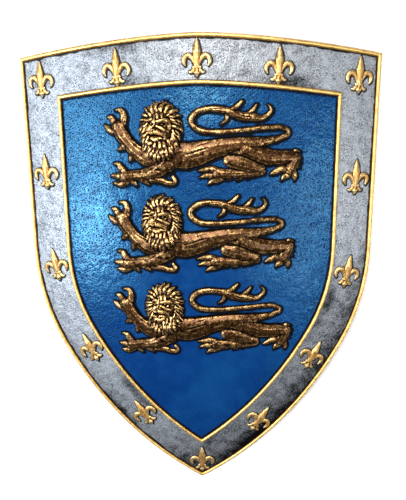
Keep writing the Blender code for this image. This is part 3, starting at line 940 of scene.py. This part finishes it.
# The numbers given to patches are a size in metres, a detail, the noise's range and what it is spread over.
def field_paint():
    """Satin blue over the pitted field, dark in the pits, with wash and painted shadow at the foot of every
    relief and along the inner rim.
    """
    sizes, paints = bpy.context.scene.shield_sizes, bpy.context.scene.shield_paints
    paint = Paint("Blue field paint")
    paint.look("Coat Roughness", 0.24)
    paint.look("Specular Tint", FIELD_SHEEN)
    tone = paint.patches(0.05, 3.0, 0.35, 0.75, 0.0, 0.16)
    ground = paint.mixed(tone, opaque(paints.field), opaque(paints.field_rub))
    speck = paint.patches(0.0026, 2.0, 0.45, 0.75, 0.0, 0.25)
    rub = paint.maths("MULTIPLY", speck, paint.attribute("high"))
    worn = paint.mixed(rub, ground, opaque(paints.field_rub))
    pit = paint.between(paint.pit_distance(sizes.pit_spacing), *PAINTED_PIT)
    uneven = paint.patches(0.012, 2.0, 0.3, 0.6, 0.55, 1.0)
    pit = paint.maths("MULTIPLY", pit, paint.maths("MULTIPLY", uneven, paint.attribute("low")))
    edge = paint.patches(0.006, 3.0, 0.25, 0.75, 0.9, 1.3)
    dark = paint.maths("MAXIMUM", pit, paint.maths("MULTIPLY", paint.attribute("wash_and_shadow"), edge))
    paint.antiqued_and_shaded(dark, worn, 0.8, {"Specular IOR Level": (0.9, 0.05), "Coat Weight": (0.2, 0.0)})
    paint.look("Roughness", paint.patches(0.012, 4.0, 0.3, 0.7, 0.22, 0.34))
    grain = paint.maths("MULTIPLY_ADD", paint.noise(0.0018, 3.0), 0.4, paint.maths("SUBTRACT", 1.0, pit))
    paint.bump(grain, 0.0004, 0.4)
    return paint.material


def border_paint():
    """Silver over the hammered border, with dark wash left in the dents, grime, painted shade towards the
    lower right and painted shadows beside the rims and fleurs-de-lis.
    """
    sizes, paints = bpy.context.scene.shield_sizes, bpy.context.scene.shield_paints
    paint = Paint("Silver border paint", 0.5)
    patches = paint.patches(0.014, 3.0, 0.35, 0.75, 0.0, 0.25)
    specks = paint.patches(0.0022, 3.0, 0.35, 0.75, 0.0, 0.35)
    # The low mark holds grime and, towards the lower right, painted shade.
    grime_and_shade = paint.maths("ADD", paint.maths("ADD", patches, specks), paint.attribute("low"))
    dent = paint.between(paint.pit_distance(sizes.hammer_spacing), *PAINTED_DENT)
    uneven = paint.patches(0.01, 2.0, 0.35, 0.6, 0.35, 1.0)
    dark = paint.maths("MAXIMUM", grime_and_shade, paint.maths("MULTIPLY", dent, uneven))
    dark = paint.between(paint.maths("MAXIMUM", dark, paint.attribute("wash_and_shadow")), 0.0, 1.0)
    paint.antiqued_and_shaded(dark, opaque(paints.silver), 0.8, {"Specular IOR Level": (0.5, 0.1)})
    paint.look("Roughness", paint.patches(0.004, 3.0, 0.3, 0.7, 0.36, 0.52))
    paint.bump(paint.maths("SUBTRACT", paint.noise(0.0012, 3.0), dent), 0.0002, 0.4)
    return paint.material


def metal_paint(name, ground, rub, grain, roughness, least, dirt):
    """Bronze or gold paint: dark in the hollows and under the wash and painted-shadow mark, rubbed bright
    where it stands out more than the least.
    """
    paint = Paint(name, 0.8)
    smear = paint.patches(grain * 4, 4.0, 0.3, 0.7, -0.2, 0.3)
    speck = paint.patches(grain, 3.0, 0.3, 0.7, -0.15, 0.15)
    stand = paint.maths("ADD", paint.maths("ADD", paint.attribute("high"), smear), speck)
    bright = paint.mixed(paint.between(stand, least, 1.1), opaque(ground), opaque(rub))
    smudge = paint.patches(grain * 3, 3.0, 0.42, 0.75, -0.1, dirt)
    # The low mark darkens: patina in the hollows of lions and fleurs, and painted shade on the rims' lower
    # sides.
    dirt_and_shade = paint.between(paint.maths("ADD", paint.attribute("low"), smudge), 0.0, 0.38)
    dark = paint.maths("MAXIMUM", dirt_and_shade, paint.attribute("wash_and_shadow"))
    paint.antiqued_and_shaded(dark, bright, 0.7, {"Specular IOR Level": (0.5, 0.02), "Coat Weight": (0.16, 0.0)})
    paint.look("Coat Roughness", 0.15)
    paint.look("Roughness", paint.patches(grain * 2, 3.0, 0.3, 0.7, roughness - 0.08, roughness + 0.12))
    paint.bump(paint.noise(grain * 0.7, 3.0), 0.00025, 0.6)
    return paint.material


def back_paint():
    """Matt black of the back, faintly mottled."""
    back = bpy.context.scene.shield_paints.back
    paint = Paint("Back paint")
    lighter = tuple(min(1.0, BACK_MOTTLE * part) for part in back)
    tone = paint.patches(0.04, 4.0, 0.3, 0.7)
    paint.look("Base Color", paint.mixed(tone, opaque(back), opaque(lighter)))
    paint.look("Roughness", paint.patches(0.01, 3.0, 0.3, 0.7, 0.65, 0.85))
    paint.bump(paint.noise(0.003, 4.0), 0.0003, 0.6)
    return paint.material


# ---------------------------------------------------------------- the pieces
def mesh_cell(cell):
    return cell * 1.0


class SHIELD_OT_lions(bpy.types.Operator):
    """Build the three lions"""

    bl_idname = "shield.lions"
    bl_label = "Lions"

    def execute(self, context):
        paints = context.scene.shield_paints
        bronze = metal_paint("Antique bronze paint", paints.bronze, paints.bronze_rub,
                             grain=0.0016, roughness=0.27, least=0.13, dirt=0.32)
        for number, (u, v, size) in enumerate(LION_PLACES):
            mesh = placed(sculpted_lion(number), u, v, 0.0, size)
            mark_high_and_low(mesh, 0.25 * MM)
            # Dark on the low sides next to the ground: wash at the foot, and painted shadow round it.
            mark(mesh, "wash_and_shadow", fade(marked(mesh, "height"), 2.6 * MM, 0.6 * MM))
            roll_and_finish(f"lion_{number + 1}", mesh, bronze)
        return {"FINISHED"}


class SHIELD_OT_fleurs(bpy.types.Operator):
    """Build the fourteen fleurs-de-lis"""

    bl_idname = "shield.fleurs"
    bl_label = "Fleurs-de-lis"

    def execute(self, context):
        paints = context.scene.shield_paints
        brown = np.multiply(paints.gold, FLEUR_GROUND)
        gilt = metal_paint("Fleur gold paint", brown, paints.cream,
                           grain=0.0016, roughness=0.4, least=0.0, dirt=0.04)
        for number, place in enumerate(fleur_places()):
            mesh = placed(sculpted_fleur(), *place)
            mark_high_and_low(mesh, 0.35 * MM)
            # Dark on the low sides next to the ground: wash at the foot, and painted shadow round it.
            mark(mesh, "wash_and_shadow", fade(marked(mesh, "height"), 1.0 * MM, 0.1 * MM))
            roll_and_finish(f"fleur_{number + 1:02d}", mesh, gilt)
        return {"FINISHED"}


class SHIELD_OT_rims(bpy.types.Operator):
    """Build the outer and inner half-round rims"""

    bl_idname = "shield.rims"
    bl_label = "Rims"

    def execute(self, context):
        sizes, paints = context.scene.shield_sizes, context.scene.shield_paints
        brown = np.multiply(paints.gold, RIM_GROUND)
        gilt = metal_paint("Rim gold paint", brown, paints.gold,
                           grain=0.002, roughness=0.38, least=0.05, dirt=0.0)
        around = stations(RIM_CELL)
        for name, start, underside in (("outer_rim", 0.0, OUTER_RIM_UNDERSIDE),
                                       ("inner_rim", sizes.border, RIM_UNDERSIDE)):
            section = [(start, underside)]
            for turn in np.pi * np.arange(RIM_STEPS + 1) / RIM_STEPS:
                section.append((start + sizes.rim_width * (1 - math.cos(turn)) / 2,
                                sizes.rim_height * math.sin(turn)))
            section += [(start + sizes.rim_width, RIM_UNDERSIDE),
                        (start + sizes.rim_width / 2, RIM_UNDERSIDE), (start + 1 * MM, underside)]
            mesh = ring(name, around, section)
            places = positions(mesh)
            inset = marked(mesh, "inset")
            raised = fade(places[:, 2], 0.0, 1 * MM)
            places[:, 2] += cloud(places[:, 0], places[:, 1], 0.012, 7) * 0.22 * MM * raised
            move_points(mesh, places)
            part = (inset - start) / sizes.rim_width
            # The crest gets the lighter gold and the lower sides the dark: partly rubbed gilt, partly
            # painted highlight and painted shade on the round rim; the dark on the inner side is painted
            # shadow with some wash.
            mark(mesh, "high", fade(places[:, 2], 0.5 * sizes.rim_height, 1.02 * sizes.rim_height))
            mark(mesh, "low", 0.8 * fade(places[:, 2], 1.6 * MM, 0.2 * MM))
            mark(mesh, "wash_and_shadow", fade(places[:, 2], 0.6 * MM, 0.0) * (part > 0.5))
            roll_and_finish(name, mesh, gilt)
        return {"FINISHED"}


class SHIELD_OT_border(bpy.types.Operator):
    """Build the hammered silver border"""

    bl_idname = "shield.border"
    bl_label = "Border"

    def execute(self, context):
        sizes = context.scene.shield_sizes
        cell = mesh_cell(BORDER_CELL)
        start, end = sizes.rim_width / 2, sizes.border + sizes.rim_width / 2
        rows = round((end - start) / cell)
        section = [(start + (end - start) * row / rows, 0.0) for row in range(rows + 1)]
        section += [(inset, UNDERSIDE) for inset in (end, (start + end) / 2, start)]
        mesh = ring("border", stations(cell), section)
        places, inset = positions(mesh), marked(mesh, "inset")
        u, v = places[:, 0], places[:, 1]
        on_top = places[:, 2] > UNDERSIDE / 2
        dents = fade(pit_distance(*mark_grid(mesh, u, v), sizes.hammer_spacing), 2.0, 0.0)
        lumps = cloud(u, v, 0.006, 12, 3)
        places[:, 2] += (lumps * 0.15 * MM - dents * sizes.hammer_depth) * on_top
        fleurs = [placed(sculpted_fleur(), *place) for place in fleur_places()]
        # The fleurs' dark outline is reckoned from a foot moved down and to the right: painted shadow on
        # their lower right sides, with some wash.
        away = foot_distance(places - (0.8 * MM, -0.6 * MM, 0), fleurs)
        uneven = cloud(u, v, 0.01, 13, 3) * 0.8 * MM
        smoky = fade(cloud(u, v, 0.08, 14), -0.2, 1.0)
        beside_rim = fade(np.minimum(inset, sizes.border - inset), 0.018, 0.006)
        # Darker towards the lower right, where the light falls off: painted shade, added to the grime.
        lower_right = fade(u - v, 0.05, 0.4) * fade(v, 0.12, -0.12)
        upper_left = fade(u - v, -0.1, -0.4)
        grime_and_shade = (0.13 * upper_left + 0.14 * smoky + 0.45 * smoky * beside_rim
                 + lower_right * (0.4 + 0.3 * fade(inset, 0.035, 0.008)))
        # Dark bands along the inside of the outer rim, beside the inner rim and round the fleurs: partly
        # wash, partly painted shadow.
        wash_and_shadow = np.maximum.reduce([fade(inset - sizes.rim_width + uneven, 2.6 * MM, 1.0 * MM),
                                  0.6 * fade(sizes.border - inset + uneven, 1.6 * MM, 0.4 * MM),
                                  fade(away + 0.5 * uneven, 2.0 * MM, 1.0 * MM)])
        mark(mesh, "low", grime_and_shade)
        mark(mesh, "wash_and_shadow", wash_and_shadow * 0.92)
        move_points(mesh, places)
        roll_and_finish("border", mesh, border_paint())
        return {"FINISHED"}


def inside(u, v, inset):
    """Whether each sheet point lies inside the outline moved in by inset."""
    side = HALF_WIDTH - inset
    centre, radius = lower_arc()
    radius -= inset
    across = np.abs(u)
    start = SHOULDER_V - (SHOULDER_RADIUS - inset) * math.sin(SHOULDER_TURN)
    shoulder = np.sqrt(np.maximum((SHOULDER_RADIUS - inset) ** 2 - (SHOULDER_V - v) ** 2, 0))
    lower = np.sqrt(np.maximum(radius ** 2 - (centre.y - v) ** 2, 0)) + centre.x
    reach = np.where(v > SHOULDER_V, side, np.where(v > start, side - (SHOULDER_RADIUS - inset) + shoulder,
                                                    lower))
    return (across < reach) & (v < top_edge_v(u, inset))


def split_in_squares(bm, faces, cell):
    """Cut the given flat faces along a grid so that they can be rolled."""
    for axis, low, high in ((0, -HALF_WIDTH, HALF_WIDTH), (1, TIP_V, PEAK_V)):
        for cut in range(1, int((high - low) / cell)):
            place, normal = [0, 0, 0], [0, 0, 0]
            place[axis], normal[axis] = low + cut * cell, 1
            edges = [edge for face in faces for edge in face.edges]
            corners = [corner for face in faces for corner in face.verts]
            geometry = list(dict.fromkeys([*faces, *edges, *corners]))
            cut_up = bmesh.ops.bisect_plane(bm, geom=geometry, plane_co=place, plane_no=normal)
            faces = [item for item in cut_up["geom"] if isinstance(item, bmesh.types.BMFace)]
    return faces


# The field is hardly pitted in an oval round this place.
CALM_MIDDLE = (0.01, -0.09)
CALM_REACH = (0.13, 0.17)
# Shallow folds in the field: start, end, half width and height in metres.
CREASES = (((0.045, 0.232), (0.075, 0.240), 0.004, 0.0006), ((0.040, 0.222), (0.100, 0.232), 0.004, 0.0006),
           ((0.030, 0.212), (0.070, 0.219), 0.004, 0.0005), ((0.160, 0.150), (0.172, 0.120), 0.006, 0.0006),
           ((0.150, 0.105), (0.166, 0.080), 0.005, 0.0005))


def creases(u, v):
    """Height of the field's shallow folds."""
    total = np.zeros_like(u)
    flat = np.stack([u, v], 1)
    for start, end, half_width, height in CREASES:
        away, along = nearest_on_run(flat, (start, end))
        total += height * np.exp(-(away / half_width) ** 2) * np.sin(np.pi * along) ** 0.5
    return total


class SHIELD_OT_field(bpy.types.Operator):
    """Build the pitted blue field"""

    bl_idname = "shield.field"
    bl_label = "Field"

    def execute(self, context):
        sizes = context.scene.shield_sizes
        cell = mesh_cell(FIELD_CELL)
        middle = sizes.border + sizes.rim_width / 2
        half_width, top, low = HALF_WIDTH - middle, PEAK_V - middle, TIP_V + middle
        columns, rows = round(2 * half_width / cell), round((top - low) / cell)
        bm = bmesh.new()
        shape = Matrix.Diagonal((half_width, (top - low) / 2, 1, 1))
        bmesh.ops.create_grid(bm, x_segments=columns, y_segments=rows, size=1.0,
                              matrix=Matrix.Translation((0, (top + low) / 2, 0)) @ shape)
        centres = np.array([face.calc_center_bounds() for face in bm.faces])
        keep = inside(centres[:, 0], centres[:, 1], middle)
        bmesh.ops.delete(bm, geom=[face for face, kept in zip(bm.faces[:], keep) if not kept],
                         context="FACES")
        edge = [edge for edge in bm.edges if edge.is_boundary]
        skirt = bmesh.ops.extrude_edge_only(bm, edges=edge)["geom"]
        bmesh.ops.translate(bm, vec=(0, 0, UNDERSIDE),
                            verts=[item for item in skirt if isinstance(item, bmesh.types.BMVert)])
        floor = bmesh.ops.holes_fill(bm, edges=[edge for edge in bm.edges if edge.is_boundary])["faces"]
        split_in_squares(bm, floor, FIELD_UNDERSIDE_CELL)
        mesh = to_mesh(bm, "field")
        places = positions(mesh)
        u, v = places[:, 0], places[:, 1]
        on_top = places[:, 2] > UNDERSIDE / 2
        pits = fade(pit_distance(*mark_grid(mesh, u, v), sizes.pit_spacing), 2.0, 0.0)
        calm = np.hypot((u - CALM_MIDDLE[0]) / CALM_REACH[0], (v - CALM_MIDDLE[1]) / CALM_REACH[1])
        pitted = fade(calm + 0.25 * cloud(u, v, 0.05, 22), 0.55, 1.25)
        lumps = cloud(u, v, 0.012, 23, 3)
        swell = cloud(u, v, 0.07, 24)
        places[:, 2] += (lumps * (0.05 + 0.09 * pitted) * MM + swell * 0.4 * MM + creases(u, v)
                         - pits * pitted * sizes.pit_depth) * on_top
        lions = [placed(sculpted_lion(number), u0, v0, 0.0, size)
                 for number, (u0, v0, size) in enumerate(LION_PLACES)]
        # The lions' dark outline is wider on their lower right, reckoned from a foot moved down and to the
        # right: painted shadow, with wash at the foot.
        away = np.minimum(foot_distance(places, lions) + 0.9 * MM,
                          foot_distance(places - (1.2 * MM, -1.0 * MM, 0), lions))
        uneven = cloud(u, v, 0.01, 25) * 0.6 * MM
        # A dark band on the field along the inner rim: painted shadow under the rim, with some wash.
        near_rim = 0.45 * sum(1.0 - inside(u, v, sizes.border + sizes.rim_width + reach * MM)
                              for reach in (2.0, 2.9))
        wash_and_shadow = np.maximum(fade(away + uneven, 3.1 * MM, 1.7 * MM), near_rim)
        mark(mesh, "high", fade(lumps, -0.2, 0.9) * pitted)
        mark(mesh, "low", 0.15 + 0.85 * pitted)
        mark(mesh, "wash_and_shadow", wash_and_shadow * 0.95)
        move_points(mesh, places)
        roll_and_finish("field", mesh, field_paint())
        return {"FINISHED"}


class SHIELD_OT_back(bpy.types.Operator):
    """Build the shell behind the painted front, with its flat boss"""

    bl_idname = "shield.back"
    bl_label = "Back"

    def execute(self, context):
        wall = context.scene.shield_sizes.wall
        around = stations(BACK_CELL)[:-1]
        u, v = outline_at(around, 0.0005)
        bm = bmesh.new()
        loop = [bm.verts.new(place) for place in zip(u, v, np.full(len(u), -wall))]
        face = bm.faces.new(loop)
        walls = bmesh.ops.extrude_face_region(bm, geom=[face])["geom"]
        bmesh.ops.translate(bm, vec=(0, 0, wall + BACK_TOP),
                            verts=[item for item in walls if isinstance(item, bmesh.types.BMVert)])
        split_in_squares(bm, [face for face in bm.faces if len(face.verts) > 4], BACK_CELL)
        mesh = to_mesh(bm, "shell_back")
        places = positions(mesh)
        under = places[:, 2] < -wall / 2
        u, v = places[:, 0], places[:, 1]
        places[:, 2] += cloud(u, v, 0.05, 31) * 0.2 * MM * under * inside(u, v, 0.01)
        move_points(mesh, on_the_curve(places))
        shell = loose_object("shell_back", mesh)
        bm = bmesh.new()
        seat = on_the_curve(np.array([[0.0, BOSS_V, -wall]]))[0]
        size = Matrix.Diagonal((*BOSS_SIZE, 2 * BOSS_DEPTH, 1))
        bmesh.ops.create_cube(bm, size=1.0, matrix=Matrix.Translation(seat) @ size)
        upright = [edge for edge in bm.edges if abs(edge.verts[0].co.z - edge.verts[1].co.z) > BOSS_DEPTH]
        bmesh.ops.bevel(bm, geom=upright, offset=BOSS_CORNER, segments=8, profile=0.5, affect="EDGES",
                        material=-1)
        rim = [edge for edge in bm.edges if max(v.co.z for v in edge.verts) < seat[2]]
        bmesh.ops.bevel(bm, geom=rim, offset=BOSS_EDGE, segments=2, profile=0.5, affect="EDGES", material=-1)
        boss = loose_object("boss", to_mesh(bm, "boss"))
        union = shell.modifiers.new("Boss", "BOOLEAN")
        union.operation = "UNION"
        union.object = boss
        mesh = evaluated_mesh(shell)
        bpy.data.objects.remove(boss)
        finish_piece("shell_back", mesh, back_paint())
        mesh.set_sharp_from_angle(angle=BACK_SHARP_ANGLE)
        return {"FINISHED"}


# ---------------------------------------------------------------- floor, light and camera
COOL, PLAIN, WARM = (0.85, 0.93, 1.0), (1.0, 1.0, 1.0), (1.0, 0.96, 0.89)
LIGHTS = (
    # name, where it is, length, width, watts, colour
    ("Left window", (-1.5, 0.3, 1.4), 1.5, 0.9, 25, COOL),
    ("Left sheen", (-1.27, -0.27, 1.64), 0.5, 0.32, 18, COOL),
    ("Overhead", (-0.1, 1.0, 2.0), 1.3, 0.7, 42, WARM),
    ("Right strip", (0.87, -0.5, 1.85), 0.9, 0.07, 4.5, PLAIN),
    ("Right panel", (1.3, -0.1, 1.62), 0.9, 0.4, 7.5, PLAIN),
)
WORLD_STRENGTH = 0.08
CAMERA_PLACE = (0.0394, 0.2127, 0.7687)
CAMERA_TURN = (-0.2247, 0.0451, 0.0009)
CAMERA_LENS = 39.59
CAMERA_SENSOR = 36.0
FLOOR_HALF = 6.0


class SHIELD_OT_stage(bpy.types.Operator):
    """Set the floor, lights and camera"""

    bl_idname = "shield.stage"
    bl_label = "Stage"

    def execute(self, context):
        paints = context.scene.shield_paints
        bm = bmesh.new()
        bmesh.ops.create_grid(bm, x_segments=1, y_segments=1, size=FLOOR_HALF)
        floor = loose_object("floor", to_mesh(bm, "floor"))
        if floor.data.polygons[0].normal.z < 0:
            floor.data.flip_normals()
        paint = Paint("Pale floor")
        paint.look("Base Color", opaque(paints.floor))
        paint.look("Roughness", 0.9)
        floor.data.materials.append(paint.material)

        world = bpy.data.worlds.new("Studio")
        context.scene.world = world
        world.use_nodes = True
        background = world.node_tree.nodes["Background"].inputs
        background["Color"].default_value = (1, 1, 1, 1)
        background["Strength"].default_value = WORLD_STRENGTH
        for name, place, length, width, watts, colour in LIGHTS:
            light = bpy.data.lights.new(name, "AREA")
            light.shape = "RECTANGLE"
            light.size, light.size_y = length, width
            light.energy = watts
            light.color = colour
            lamp = loose_object(name, light)
            lamp.location = place
            lamp.rotation_euler = (-Vector(place)).to_track_quat("-Z", "X").to_euler()

        lens = bpy.data.cameras.new("Camera")
        lens.lens = CAMERA_LENS
        lens.sensor_width = CAMERA_SENSOR
        camera = loose_object("Camera", lens)
        turn = (Matrix.Rotation(CAMERA_TURN[0], 4, "X") @ Matrix.Rotation(CAMERA_TURN[1], 4, "Y")
                @ Matrix.Rotation(CAMERA_TURN[2], 4, "Z"))
        camera.matrix_world = Matrix.Translation(CAMERA_PLACE) @ turn
        context.scene.camera = camera
        context.scene.view_settings.view_transform = "Standard"
        return {"FINISHED"}


OPERATORS = (SHIELD_OT_lions, SHIELD_OT_fleurs, SHIELD_OT_rims, SHIELD_OT_border, SHIELD_OT_field,
             SHIELD_OT_back, SHIELD_OT_stage)


class SHIELD_PT_panel(bpy.types.Panel):
    """The shield's sizes, paints and pieces"""

    bl_idname = "SHIELD_PT_panel"
    bl_label = "Heater shield"
    bl_space_type = "VIEW_3D"
    bl_region_type = "UI"
    bl_category = "Shield"

    def draw(self, context):
        for group in (context.scene.shield_sizes, context.scene.shield_paints):
            for name in group.bl_rna.properties.keys():
                if name not in {"rna_type", "name"}:
                    self.layout.prop(group, name)
        for operator in OPERATORS:
            self.layout.operator(operator.bl_idname)


CLASSES = (ShieldSizes, ShieldPaints, *OPERATORS, SHIELD_PT_panel)


def register():
    """Make the operators, panel, sizes and paints known to Blender."""
    for each in CLASSES:
        bpy.utils.register_class(each)
    bpy.types.Scene.shield_sizes = PointerProperty(type=ShieldSizes)
    bpy.types.Scene.shield_paints = PointerProperty(type=ShieldPaints)


def unregister():
    """Take them out again."""
    del bpy.types.Scene.shield_paints
    del bpy.types.Scene.shield_sizes
    for each in reversed(CLASSES):
        bpy.utils.unregister_class(each)


def main():
    """Build every piece."""
    register()
    bpy.ops.shield.lions()
    bpy.ops.shield.fleurs()
    bpy.ops.shield.rims()
    bpy.ops.shield.border()
    bpy.ops.shield.field()
    bpy.ops.shield.back()
    bpy.ops.shield.stage()


if __name__ == "__main__":
    main()
